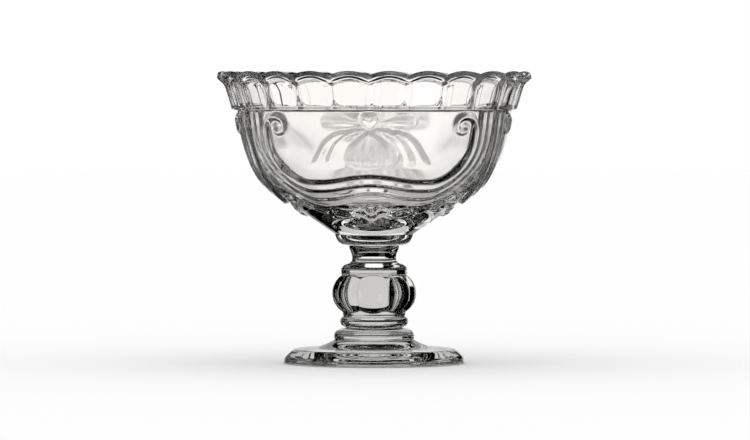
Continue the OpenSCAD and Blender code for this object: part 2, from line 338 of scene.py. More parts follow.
def revolve(profile: Profile, columns: int) -> bmesh.types.BMesh:
    """Spins a profile once round the axis of the dish.

    Args:
        profile: Radius and height of each row in millimetres, from the axis back to the axis.
        columns: Number of steps round the axis.

    Returns:
        Closed mesh in metres, with its faces pointing outwards.
    """
    mesh = bmesh.new()
    verts = [mesh.verts.new((0.0, -radius * MM, height * MM)) for radius, height in profile]
    edges = [mesh.edges.new(pair) for pair in zip(verts, verts[1:])]
    bmesh.ops.spin(
        mesh, geom=verts + edges, axis=AXIS, angle=math.tau, steps=columns, use_merge=True
    )
    bmesh.ops.remove_doubles(mesh, verts=mesh.verts, dist=1e-7)
    bmesh.ops.recalc_face_normals(mesh, faces=mesh.faces)
    return mesh


@dataclass(frozen=True)
class Contact:
    """Flat disc where one piece is fused to the next, in millimetres."""

    height: float
    radius: float

    def holds(self, face: bmesh.types.BMFace) -> bool:
        """Says whether a face lies on the disc."""
        return all(
            abs(v.co.z - self.height * MM) < 1e-6 and math.hypot(v.co.x, v.co.y) < self.radius * MM + 1e-6
            for v in face.verts
        )

    def rows(self) -> Profile:
        """Gives the rows of the disc from the axis outwards."""
        ring = spaced([(HUB, self.height), (self.radius, self.height)], DISC_STEP)
        return [(0.0, self.height), *ring]


FOOT_TO_STEM = Contact(height=12.4, radius=9.6)
STEM_TO_WAFER = Contact(height=41.2, radius=8.8)
WAFER_TO_BOWL = Contact(height=45.1, radius=13.6)


@dataclass
class Piece:
    """One piece of the dish, spun from a profile and then shaped.

    Attributes:
        name: Name of the Blender object.
        node: Solid of the frame that the piece stands for.
        columns: Steps round the axis.
    """

    name: str
    node: str
    columns: int

    def profile(self) -> Profile:
        """Gives the outline from axis to axis in millimetres."""
        raise NotImplementedError

    def contacts(self) -> list[Contact]:
        """Gives the discs where the piece is fused to its neighbours."""
        raise NotImplementedError

    def finish_of(self, face: bmesh.types.BMFace) -> Finish:
        """Chooses the finish of one face."""
        return Finish.FUSED if any(disc.holds(face) for disc in self.contacts()) else Finish.GLASS

    def turned(self, angle: np.ndarray) -> np.ndarray:
        """Moves the columns round the axis; they stay evenly spaced unless a piece needs more somewhere."""
        return angle

    def shaped(self, angle: np.ndarray, radius: np.ndarray, height: np.ndarray) -> np.ndarray:
        """Moves the spun points to the pressed shape.

        Args:
            angle: Degrees round the axis, 0 at the front and rising towards +X.
            radius: Distance from the axis in millimetres.
            height: Height in millimetres.

        Returns:
            Radius and height of each point, one a row.
        """
        return np.column_stack([radius, height])

    def build(self, finishes: Sequence[bpy.types.Material]) -> bpy.types.Object:
        """Makes the object, dresses it and sets it on the frame.

        Args:
            finishes: Materials in the order of Finish.

        Returns:
            The finished object.
        """
        solid = revolve(self.profile(), self.columns)
        for face in solid.faces:
            face.smooth = True
            face.material_index = self.finish_of(face).value
        for edge in solid.edges:
            sides = {face.material_index for face in edge.link_faces}
            edge.smooth = len(sides) < 2 or Finish.FUSED.value not in sides
        mesh = bpy.data.meshes.new(self.name)
        solid.to_mesh(mesh)
        solid.free()
        points = np.empty(len(mesh.vertices) * 3)
        mesh.vertices.foreach_get("co", points)
        x, y, z = points.reshape(-1, 3).T / MM
        angle = self.turned(np.degrees(np.arctan2(x, -y)))
        radius, height = self.shaped(angle, np.hypot(x, y), z).T
        turn = np.radians(angle)
        moved = np.column_stack([radius * np.sin(turn), -radius * np.cos(turn), height]) * MM
        mesh.vertices.foreach_set("co", moved.ravel())
        mesh.update()
        for finish in finishes:
            mesh.materials.append(finish)
        piece = bpy.data.objects.new(self.name, mesh)
        bpy.context.scene.collection.objects.link(piece)
        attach(piece, BODY)
        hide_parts(self.node)
        return piece


@dataclass
class WallCurve:
    """Plain outside of the bowl below its band, before any relief."""

    control: Sequence[tuple[float, float]]
    heights: np.ndarray = field(init=False)
    radii: np.ndarray = field(init=False)
    runs: np.ndarray = field(init=False)

    def __post_init__(self) -> None:
        """Tabulates the curve from its foot upwards."""
        points = bezier(*self.control, count=600)[::-1]
        self.radii, self.heights = points.T
        self.runs = np.concatenate([[0.0], np.cumsum(np.hypot(*np.diff(points, axis=0).T))])

    def radius(self, height: np.ndarray) -> np.ndarray:
        """Reads the radius at a height."""
        return np.interp(height, self.heights, self.radii)

    def run(self, height: np.ndarray) -> np.ndarray:
        """Reads the distance along the wall from its foot."""
        return np.interp(height, self.heights, self.runs)

    def unrolled(self, angle: np.ndarray, height: np.ndarray) -> tuple[np.ndarray, np.ndarray]:
        """Lays places on the wall out flat, as millimetres round the bowl and up its wall."""
        return np.radians(angle) * self.radius(height), self.run(height)

    def slope(self, height: np.ndarray) -> np.ndarray:
        """Reads how fast the radius grows with height."""
        reach = 0.4
        return (self.radius(height + reach) - self.radius(height - reach)) / (2 * reach)


@dataclass
class Rib:
    """Raised rib on the wall along a line of places, rounded across.

    Attributes:
        path: Places as degrees round the bowl and height.
        half_widths: Half the width at each place, in millimetres.
        heights: Height above the wall at each place.
        folds: Number of creases that run along the rib.
        crease: Share of the height that a crease takes away.
    """

    path: Sequence[tuple[float, float]]
    half_widths: Sequence[float]
    heights: Sequence[float]
    folds: int = 0
    crease: float = 0.3

    def height(self, wall: WallCurve, angle: np.ndarray, level: np.ndarray) -> np.ndarray:
        """Works out how far the rib stands out at each place.

        Args:
            wall: Wall that carries the rib.
            angle: Degrees from the middle of the panel.
            level: Heights of the places.

        Returns:
            Distance out from the wall in millimetres.
        """
        path = np.array(self.path, float)
        middle = path[:, 0].mean()
        across, along = wall.unrolled(angle - middle, level)
        line_x, line_y = wall.unrolled(path[:, 0] - middle, path[:, 1])
        high = np.zeros(len(angle))
        for i in range(len(path) - 1):
            dx, dy = line_x[i + 1] - line_x[i], line_y[i + 1] - line_y[i]
            off_x, off_y = across - line_x[i], along - line_y[i]
            share = np.clip((off_x * dx + off_y * dy) / (dx * dx + dy * dy), 0.0, 1.0)
            half = self.half_widths[i] + (self.half_widths[i + 1] - self.half_widths[i]) * share
            top = self.heights[i] + (self.heights[i + 1] - self.heights[i]) * share
            away = np.hypot(off_x - dx * share, off_y - dy * share) / half
            swell = top * np.clip(1.0 - away * away, 0.0, 1.0)
            if self.folds:
                swell = swell * (1.0 - self.crease * 0.5 * (1.0 - np.cos(math.pi * self.folds * away)))
            high = np.maximum(high, swell)
        return high


@dataclass
class Dome:
    """Round or oval boss on the wall, as a ball sunk into it.

    Attributes:
        start: Place of one end, as degrees and height.
        end: Place of the other end.
        ball: Radius of the ball in millimetres.
        high: How far it stands out.
    """

    start: tuple[float, float]
    end: tuple[float, float]
    ball: float
    high: float

    def height(self, wall: WallCurve, angle: np.ndarray, level: np.ndarray) -> np.ndarray:
        """Works out how far the boss stands out at each place.

        Args:
            wall: Wall that carries the boss.
            angle: Degrees from the middle of the panel.
            level: Heights of the places.

        Returns:
            Distance out from the wall in millimetres.
        """
        middle = (self.start[0] + self.end[0]) / 2
        ends = np.array([self.start, self.end], float)
        across, along = wall.unrolled(angle - middle, level)
        (x0, x1), (y0, y1) = wall.unrolled(ends[:, 0] - middle, ends[:, 1])
        dx, dy = x1 - x0, y1 - y0
        length = max(dx * dx + dy * dy, 1e-9)
        share = np.clip(((across - x0) * dx + (along - y0) * dy) / length, 0.0, 1.0)
        away = np.hypot(across - x0 - dx * share, along - y0 - dy * share)
        cap = np.sqrt(np.clip(self.ball**2 - away**2, 0.0, None)) - (self.ball - self.high)
        return np.maximum(cap, 0.0)


@dataclass
class Drape:
    """Raised patch of the wall between two edges, with soft folds that run down it.

    Attributes:
        levels: Heights at which the edges are given, from the lowest.
        inner: Degrees of the inner edge at each level.
        outer: Degrees of the outer edge at each level.
        high: Height above the wall.
        folds: Number of folds across the patch.
        crease: Share of the height that the bottom of a fold takes away.
        fade: Height over which the patch runs out at its foot.
        full: Width in millimetres from which the patch has its whole height.
    """

    levels: Sequence[float]
    inner: Sequence[float]
    outer: Sequence[float]
    high: float
    folds: float
    crease: float = 0.5
    fade: float = 3.5
    full: float = 2.5

    def height(self, wall: WallCurve, angle: np.ndarray, level: np.ndarray) -> np.ndarray:
        """Works out how far the patch stands out at each place.

        Args:
            wall: Wall that carries the patch.
            angle: Degrees from the middle of the panel.
            level: Heights of the places.

        Returns:
            Distance out from the wall in millimetres.
        """
        inner = np.interp(level, self.levels, self.inner)
        outer = np.interp(level, self.levels, self.outer)
        share = (angle - inner) / np.maximum(outer - inner, 1e-3)
        edge = np.clip(1.0 - np.abs(2.0 * share - 1.0) ** 4, 0.0, 1.0)
        fold = 1.0 - self.crease * (0.5 - 0.5 * np.cos(math.tau * self.folds * share))
        narrow = np.clip(np.radians(outer - inner) * wall.radius(level) / self.full, 0.0, 1.0)
        fade = smooth_step(self.levels[0], self.levels[0] + self.fade, level)
        within = (level > self.levels[0]) & (level < self.levels[-1]) & (share > 0.0) & (share < 1.0)
        return np.where(within, self.high * edge * fold * narrow * fade, 0.0)


@dataclass
class ScrollPanel:
    """Reeded frame of one panel, with its scrolls, leaves and garland.

    Only half of a panel is described, from its middle at 0 degrees to the line between two panels.
    """

    wall: WallCurve
    top: float
    foot: float
    half: float = 47.0
    drop: float = 23.9
    corner_share: float = 0.66
    corner_drop: float = 0.477
    cusp: float = 1.9
    cusp_share: float = 0.84
    reeds: int = 3
    reed_high: float = 1.4
    reed_square: int = 8
    reed_pitch: float = 3.15
    reed_fall: float = 2.75
    relief: float = 1.0
    scroll_radius: float = 4.2
    scroll_eye: float = 0.8
    scroll_turn: float = 420.0
    scroll_step: float = 12.0
    scroll_wide: float = 1.25
    scroll_thin: float = 0.45
    scroll_lead: float = 2.6
    scroll_down: float = 5.4
    side_down: float = 8.0
    bow_up: float = 17.1
    garland_up: float = 7.2

    def __post_init__(self) -> None:
        """Works out the places that the frame is drawn from."""
        self.corner = self.half * self.corner_share
        self.corner_level = self.top - self.drop * self.corner_drop
        self.low = self.top - self.drop
        self.degrees = 180.0 / (math.pi * float(self.wall.radius(self.top - self.side_down)))
        self.side_step = self.reed_pitch * self.degrees
        self.scroll_level = self.top - self.scroll_down

    def reed_number(self, angle: np.ndarray, level: np.ndarray) -> np.ndarray:
        """Counts reeds outwards from the edge of the panel, with fractions across each reed.

        Args:
            angle: Degrees from the middle of the panel, 0 or more.
            level: Heights of the places.

        Returns:
            Number of each place: 0 at the edge of the panel, below 0 inside it.
        """
        reach = self.corner * self.cusp_share
        bump = np.where(angle < reach, self.cusp * (1 + np.cos(np.pi * angle / reach)) / 2, 0.0)
        below = (self.low + bump - level) / self.reed_fall
        beside = (angle - self.half) / self.side_step
        least, most = np.full(len(angle), -3.9), np.full(len(angle), 12.0)
        for _ in range(40):
            number = (least + most) / 2
            wide = self.half - self.corner + number * self.side_step
            tall = self.corner_level - self.low + number * self.reed_fall
            outside = np.hypot((angle - self.corner) / wide, (self.corner_level - level) / tall) > 1.0
            least, most = np.where(outside, number, least), np.where(outside, most, number)
        corner = (least + most) / 2
        return np.where(angle <= self.corner, below, np.where(level >= self.corner_level, beside, corner))

    def reed_height(self, angle: np.ndarray, level: np.ndarray) -> np.ndarray:
        """Works out how far the reeds stand out.

        Args:
            angle: Degrees from the middle of the panel, 0 or more.
            level: Heights of the places.

        Returns:
            Distance out from the wall in millimetres.
        """
        number = self.reed_number(angle, level)
        across = 2.0 * (number - np.floor(number)) - 1.0
        swell = self.reed_high * (1.0 - across**self.reed_square)
        swell = np.where((number < 0.0) | (number > self.reeds), 0.0, swell)
        into_scroll = smooth_step(self.scroll_level - 1.0, self.scroll_level + 1.0, level)
        return np.where(number < 1.0, swell * (1.0 - into_scroll), swell)

    def scroll(self) -> Rib:
        """Describes the scroll that the first reed winds into.

        Returns:
            The scroll as a rib that thins towards its eye.
        """
        side = self.half + 0.5 * self.side_step
        wide = self.scroll_wide * self.degrees
        path = [(side, self.scroll_level - self.scroll_lead)]
        for turn in np.arange(0.0, self.scroll_turn + 1.0, self.scroll_step):
            radius = self.scroll_radius + (self.scroll_eye - self.scroll_radius) * turn / self.scroll_turn
            bend = math.radians(turn)
            inwards = wide * (self.scroll_radius - radius * math.cos(bend))
            path.append((side - inwards, self.scroll_level + radius * math.sin(bend)))
        thin = np.linspace(1.0, self.scroll_thin, len(path))
        return Rib(path, self.reed_pitch * 0.5 * thin, self.reed_high * thin)

    def leaves(self) -> list[Rib | Drape]:
        """Describes the bud, the drooping leaves and the bow inside the frame.

        Returns:
            The bud, a leaf, one side of the bow and its knot.
        """
        tip = self.low + self.bow_up
        bud_levels = [tip - d for d in (13.9, 13.1, 11.6, 9.6, 7.6, 5.6, 3.6, 1.6, 0.0)]
        bud_half = [2.0, 6.6, 9.8, 11.0, 10.8, 9.4, 7.0, 3.8, 0.0]
        droop_levels = [tip - d for d in (13.4, 12.6, 11.4, 8.2, 4.0, 1.0, 0.0)]
        droop_outer = [33.6, 32.0, 28.8, 25.0, 21.0, 15.6, 8.0]
        droop_inner = [9.0, 10.4, 11.4, 11.6, 8.6, 3.4, 0.5]
        bow = [(4.6, tip + 2.2), (11.0, tip + 3.0), (17.4, tip + 2.9)]
        return [
            Drape(bud_levels, [-a for a in bud_half], bud_half, self.relief * 0.8, folds=5, crease=0.25),
            Drape(droop_levels, droop_inner, droop_outer, self.relief * 0.6, folds=2.5),
            Rib(bow, [0.7, 1.8, 2.3], [0.3, 0.4, 0.4], 2),
            Rib([(0.0, tip + 0.4), (0.0, tip + 3.7)], [0.4, 3.0], [0.4, 0.8]),
        ]

    def garland(self) -> list[Dome]:
        """Describes the rosette, the fruits and the spray between two panels.

        Returns:
            The bosses of half a panel.
        """
        base = self.foot + self.garland_up
        fruits = [
            Dome((-1.4, base + 6.2), (1.4, base + 6.2), 1.5, self.relief),
            Dome((-1.0, base), (1.0, base), 2.2, self.relief * 1.7),
            Dome((22.4, base + 0.3), (27.0, base + 0.7), 2.6, self.relief * 1.2),
            Dome((38.0, base + 1.4), (43.0, base + 2.4), 1.8, self.relief),
            Dome((48.4, base + 3.1), (53.0, base + 4.3), 1.8, self.relief),
            Dome((57.0, base + 5.6), (63.0, base + 5.6), 2.8, self.relief * 1.2),
            Dome((60.0, base + 10.6), (60.0, base + 13.2), 1.6, self.relief),
            Dome((60.0, base + 16.4), (60.0, base + 18.6), 1.3, self.relief),
        ]
        for petal in range(5):
            turn = math.tau * petal / 5
            wide, tall = math.sin(turn), math.cos(turn)
            fruits.append(
                Dome((4 * wide, base + tall), (10 * wide, base + 2.7 * tall), 2.4, self.relief * 1.2)
            )
        return fruits

    def height(self, angle: np.ndarray, level: np.ndarray) -> np.ndarray:
        """Works out the whole relief of the panel.

        Args:
            angle: Degrees from the middle of the panel, 0 or more.
            level: Heights of the places.

        Returns:
            Distance out from the wall in millimetres.
        """
        high = self.reed_height(angle, level)
        for shape in [self.scroll(), *self.leaves(), *self.garland()]:
            high = np.maximum(high, shape.height(self.wall, angle, level))
        return high


@dataclass
class Bowl(Piece):
    """Pressed bowl: scalloped lip, fluted band and a wall with three scroll panels."""

    name: str = "bowl_glass"
    node: str = "bowl"
    columns: int = 480
    top: float = 102.0
    rim: float = 55.0
    foot: float = WAFER_TO_BOWL.height
    pad: float = WAFER_TO_BOWL.radius
    wall_radius: float = 48.2
    wall_thick: float = 2.5
    floor_thick: float = 5.6
    band_tall: float = 13.6
    band_step: float = 2.0
    ledge_tall: float = 0.9
    lip_tall: float = 3.0
    lip_out: float = 1.9
    lip_thick: float = 4.2
    lip_round: float = 0.9
    inside_in: float = 1.8
    arch_ramp: float = 1.4
    flutes: int = 24
    flute_deep: float = 0.9
    flute_square: int = 6
    ridge_in: float = 0.2
    arch_rise: float = 1.1
    arch_tall: float = 1.9
    scallop_drop: float = 1.5
    panels: int = 3
    fine_from: float = 45.0
    fine_share: float = 0.4375
    fine_rows: tuple[float, float] = (-9.5, 4.0)
    row_steps: tuple[float, float, float] = (0.6, 0.32, 0.7)
    fine_band: float = 1.5

    def __post_init__(self) -> None:
        """Works out the wall curve and the lines of the band."""
        self.band = self.top - self.band_tall
        drop = self.band - self.foot
        self.wall = WallCurve(
            [
                (self.wall_radius, self.band),
                (self.wall_radius - 2.4, self.foot + drop * 0.484),
                (self.wall_radius - 9.8, self.foot + drop * 0.39),
                (self.pad, self.foot),
            ]
        )
        self.band_foot = (self.wall_radius + self.band_step, self.band + self.ledge_tall)
        self.lip_foot = (self.rim - self.lip_out, self.top - self.lip_tall)
        self.flare = (self.lip_foot[0] - self.band_foot[0]) / (self.lip_foot[1] - self.band_foot[1])
        self.panel = ScrollPanel(self.wall, self.band, self.foot)

    def profile(self) -> Profile:
        """Gives the outline from the pad up over the rim and down to the floor inside.

        Returns:
            Radius and height of each row.
        """
        inner = self.wall_radius - self.wall_thick
        fall = self.band - self.foot - self.floor_thick
        inside = bezier(
            (inner, self.band),
            (inner - 1.7, self.band - fall * 0.57),
            (inner * 0.61, self.foot + self.floor_thick + 0.8),
            (0.0, self.foot + self.floor_thick),
            count=200,
        )
        mouth = (self.lip_foot[0] - self.lip_thick, self.lip_foot[1])
        fine = self.lip_foot[1] - self.fine_band
        fine_foot = (self.band_foot[0] + self.flare * (fine - self.band_foot[1]), fine)
        edge_foot = (self.rim, self.top - self.lip_round)
        edge_end = (self.rim - self.lip_thick, self.top - self.lip_round)
        edge = bezier(
            edge_foot,
            (self.rim + 0.1, self.top + 0.2),
            (self.rim - self.lip_thick + 0.6, self.top + 0.4),
            edge_end,
            count=60,
        )
        ledge = bezier(
            (self.wall_radius, self.band),
            (self.band_foot[0] - 0.6, self.band + 0.1),
            (self.band_foot[0], self.band + 0.3),
            self.band_foot,
        )
        curve = bezier(*self.wall.control, count=400)[::-1]
        cuts = np.searchsorted(curve[:, 1], [self.panel.low + up for up in self.fine_rows])
        return rows_of(
            Contact(self.foot, self.pad).rows(),
            *(spaced(part, step) for part, step in zip(np.split(curve, cuts), self.row_steps)),
            spaced(ledge, 0.5),
            spaced([self.band_foot, fine_foot], 0.8),
            spaced([fine_foot, self.lip_foot], 0.3),
            spaced([self.lip_foot, edge_foot], 0.3),
            spaced(edge, 0.45),
            spaced([edge_end, mouth], 0.8),
            spaced([mouth, tuple(inside[0])], 1.4),
            spaced(inside, 2.6),
        )

    def contacts(self) -> list[Contact]:
        """Gives the pad that the wafer is fused to."""
        return [Contact(self.foot, self.pad)]

    def finish_of(self, face: bmesh.types.BMFace) -> Finish:
        """Chooses the finish of one face: worn on the inside of the bowl.

        Args:
            face: Face of the spun bowl.

        Returns:
            The finish.
        """
        place = face.calc_center_median() / MM
        radius = math.hypot(place.x, place.y)
        line = self.band_foot[0] + self.flare * (place.z - self.band_foot[1])
        wall = line if place.z > self.band else float(self.wall.radius(place.z))
        if place.z > self.foot + 0.5 and place.z < self.top - 1.5 and radius < wall - self.inside_in:
            return Finish.INSIDE
        return super().finish_of(face)

    def turned(self, angle: np.ndarray) -> np.ndarray:
        """Crowds the columns where the reeds stand upright, between two panels.

        Args:
            angle: Degrees round the axis, evenly spaced.

        Returns:
            The new angles.
        """
        half = 180.0 / self.panels
        folded = (angle + half) % (2 * half) - half
        shares = [0.0, 1.0 - self.fine_share, 1.0]
        moved = np.interp(np.abs(folded) / half, shares, [0.0, self.fine_from, half])
        return angle - folded + np.copysign(moved, folded)

    def shaped(self, angle: np.ndarray, radius: np.ndarray, height: np.ndarray) -> np.ndarray:
        """Presses the relief, the flutes and the scallops into the spun bowl.

        Args:
            angle: Degrees round the axis, 0 at the front.
            radius: Distance from the axis in millimetres.
            height: Height in millimetres.

        Returns:
            Radius and height of each point, one a row.
        """
        out_radius, out_height = radius.copy(), height.copy()
        span = 360.0 / self.panels
        on_wall = (height > self.foot + 0.01) & (height < self.band + 0.01)
        on_wall &= radius > self.wall.radius(height) - 0.05
        level = height[on_wall]
        folded = np.abs((angle[on_wall] + span / 2) % span - span / 2)
        high = self.panel.height(folded, level)
        slope = self.wall.slope(level)
        lean = np.sqrt(1.0 + slope * slope)
        out_radius[on_wall] += high / lean
        out_height[on_wall] -= high * slope / lean
        step = 360.0 / self.flutes
        across = (angle % step - step / 2) / (step / 2)
        band_line = self.band_foot[0] + self.flare * (height - self.band_foot[1])
        outside = (height > self.band + 0.2) & (height < self.top - 0.3) & (radius > band_line - 0.8)
        scoop = band_line - self.ridge_in - self.flute_deep * (1.0 - across**self.flute_square)
        arch = self.lip_foot[1] + self.arch_rise - self.arch_tall * across**2
        share = np.clip((arch - height) / self.arch_ramp + 0.5, 0.0, 1.0)
        share = np.where(outside, share * smooth_step(self.band, self.band_foot[1], height), 0.0)
        out_radius += (np.minimum(scoop, out_radius) - out_radius) * share
        rise = smooth_step(self.lip_foot[1] - 3.5, self.top - 1.2, height)
        out_height -= self.scallop_drop * across**2 * rise
        return np.column_stack([out_radius, out_height])


@dataclass
class JoiningWafer(Piece):
    """Disc of hot glass between bowl and stem, with a rounded lower edge."""

    name: str = "wafer_glass"
    node: str = "joining_wafer"
    columns: int = 240
    low: float = STEM_TO_WAFER.height
    top: float = WAFER_TO_BOWL.height
    radius: float = 13.8
    pad: float = WAFER_TO_BOWL.radius
    neck: float = STEM_TO_WAFER.radius

    def profile(self) -> Profile:
        """Gives the outline from the neck out round the edge and in to the axis.

        Returns:
            Radius and height of each row.
        """
        below, above = self.contacts()
        curve = bezier(
            (self.neck + 0.4, self.low),
            (self.radius - 1.2, self.low),
            (self.radius - 0.7, self.low + 2.0),
            (self.radius, self.top),
            count=60,
        )
        return rows_of(below.rows(), spaced(curve, 0.25), above.rows()[::-1])

    def contacts(self) -> list[Contact]:
        """Gives the faces fused to the stem below and the bowl above."""
        return [Contact(self.low, self.neck), Contact(self.top, self.pad)]


@dataclass
class Stem(Piece):
    """Stem: waisted neck, domed shoulder, lobed knop and a bead below it."""

    name: str = "stem_glass"
    node: str = "stem"
    columns: int = 320
    low: float = FOOT_TO_STEM.height
    top: float = STEM_TO_WAFER.height
    seat: float = FOOT_TO_STEM.radius
    neck: float = STEM_TO_WAFER.radius
    waist_in: float = 1.1
    shoulder_out: float = 2.8
    shoulder_share: float = 0.69
    knop: float = 14.7
    knop_share: float = 0.417
    lobes: int = 8
    lobe_arc: float = 7.6
    lobe_at: float = 0.53
    bead: float = 1.9
    bead_up: float = 2.2
    bead_bend: float = 1.15

    def __post_init__(self) -> None:
        """Works out the levels of the parts of the stem."""
        tall = self.top - self.low
        self.waist = self.neck - self.waist_in
        self.shoulder = self.neck + self.shoulder_out
        self.knop_level = self.low + tall * self.knop_share
        self.shoulder_level = self.low + tall * self.shoulder_share
        self.bead_level = self.low + self.bead_up

    def profile(self) -> Profile:
        """Gives the outline without its lobes, from the foot up to the wafer.

        Returns:
            Radius and height of each row.
        """
        below, above = self.contacts()
        bead_out = self.shoulder + 0.3 - self.bead
        bend = np.linspace(-self.bead_bend, self.bead_bend, 15)
        ring = np.column_stack(
            [bead_out + self.bead * np.cos(bend), self.bead_level + self.bead * np.sin(bend)]
        )
        core = [
            tuple(ring[-1]),
            (self.shoulder - 0.6, self.bead_level + self.bead + 0.9),
            (self.shoulder - 0.4, self.knop_level),
            (self.shoulder - 0.5, self.shoulder_level - 1.6),
            (self.shoulder, self.shoulder_level - 1.0),
            (self.shoulder, self.shoulder_level + 0.2),
        ]
        dome = bezier(
            (self.shoulder, self.shoulder_level + 0.2),
            (self.shoulder, self.top - 7.7),
            (self.waist + 3.2, self.top - 7.0),
            (self.waist + 2.1, self.top - 6.6),
        )
        cove = bezier(
            (self.waist + 2.1, self.top - 6.6),
            (self.waist + 0.5, self.top - 6.2),
            (self.waist, self.top - 5.6),
            (self.waist, self.top - 4.4),
        )
        neck = bezier(
            (self.waist, self.top - 4.4),
            (self.waist, self.top - 2.6),
            (self.neck - 0.1, self.top - 2.0),
            (self.neck, self.top),
        )
        return rows_of(
            below.rows(),
            spaced([(self.seat, self.low), tuple(ring[0])], 0.3),
            ring,
            spaced(core, 0.25),
            spaced(dome, 0.3),
            spaced(cove, 0.3),
            spaced(neck, 0.35),
            above.rows()[::-1],
        )

    def contacts(self) -> list[Contact]:
        """Gives the faces fused to the foot below and the wafer above."""
        return [Contact(self.low, self.seat), Contact(self.top, self.neck)]

    def shaped(self, angle: np.ndarray, radius: np.ndarray, height: np.ndarray) -> np.ndarray:
        """Swells the lobes out of the core of the knop.

        Args:
            angle: Degrees round the axis, 0 at the front.
            radius: Distance from the axis in millimetres.
            height: Height in millimetres.

        Returns:
            Radius and height of each point, one a row.
        """
        step = 360.0 / self.lobes
        turn = np.radians((angle + step / 2) % step - step / 2)
        at = self.knop * self.lobe_at
        level = height - self.knop_level
        girth = np.sqrt(np.clip(self.lobe_arc**2 - level**2, 0.0, None)) + self.knop - at - self.lobe_arc
        reach = np.clip(girth, 0.0, None) ** 2 - (at * np.sin(turn)) ** 2
        lobe = at * np.cos(turn) + np.sqrt(np.clip(reach, 0.0, None))
        inside = (reach > 0.0) & (radius > self.seat)
        return np.column_stack([np.where(inside, np.maximum(radius, lobe), radius), height])


@dataclass
class Foot(Piece):
    """Foot: cushion collar, sweep to a flat top, bevelled edge and a hollow underneath."""

    name: str = "foot_glass"
    node: str = "foot"
    columns: int = 320
    tall: float = FOOT_TO_STEM.height
    radius: float = 31.8
    seat: float = FOOT_TO_STEM.radius
    collar_out: float = 4.9
    flat_share: float = 0.4
    hollow: float = 2.4
    edge_tall: float = 1.6
    edge_in: float = 4.4
    rest_in: float = 2.0
    rest_wide: float = 3.4

    def profile(self) -> Profile:
        """Gives the outline from the hollow out round the edge and up to the stem.

        Returns:
            Radius and height of each row.
        """
        collar = self.seat + self.collar_out
        flat = self.tall * self.flat_share
        rest = self.radius - self.rest_in - self.rest_wide
        under = bezier(
            (0.0, self.hollow),
            (self.radius * 0.3, self.hollow),
            (rest - 8.0, self.hollow),
            (rest, 0.0),
            count=80,
        )
        outer = bezier(
            (self.radius - self.rest_in, 0.0),
            (self.radius - 0.4, 0.05),
            (self.radius, 0.3),
            (self.radius, self.edge_tall - 0.6),
            count=30,
        )
        edge = bezier(
            (self.radius, self.edge_tall),
            (self.radius - 0.6, self.edge_tall + 1.0),
            (self.radius - self.edge_in + 1.6, flat - 0.2),
            (self.radius - self.edge_in + 0.3, flat),
        )
        sweep = bezier(
            (self.radius - self.edge_in, flat),
            (collar + 6.0, flat + 0.2),
            (collar + 3.0, self.tall - 6.4),
            (collar - 0.3, self.tall - 4.4),
            count=60,
        )
        cushion = bezier(
            (collar - 0.7, self.tall - 4.1),
            (collar + 0.4, self.tall - 1.6),
            (collar - 2.0, self.tall - 0.1),
            (self.seat, self.tall),
        )
        return rows_of(
            spaced(under, 1.0),
            spaced([(rest, 0.0), (self.radius - self.rest_in, 0.0)], 1.0),
            spaced(outer, 0.3),
            spaced(edge, 0.4),
            spaced(sweep, 0.4),
            spaced(cushion, 0.35),
            Contact(self.tall, self.seat).rows()[::-1],
        )

    def contacts(self) -> list[Contact]:
        """Gives the seat that the stem is fused to."""
        return [Contact(self.tall, self.seat)]


@dataclass(frozen=True)
class Card:
    """White card that the glass sees, in degrees as it looks from the dish.

    Attributes:
        turn: Middle of the card, 0 straight behind the dish and rising towards +X.
        half: Half its width.
        foot: Lower edge, below the horizon if negative.
        top: Upper edge.
        fade: Height over which the card comes up to full brightness from its lower edge.
        level: Brightness, 1 for white.
    """

    turn: float
    half: float
    foot: float
    top: float
    fade: float = 4.0
    level: float = 1.0


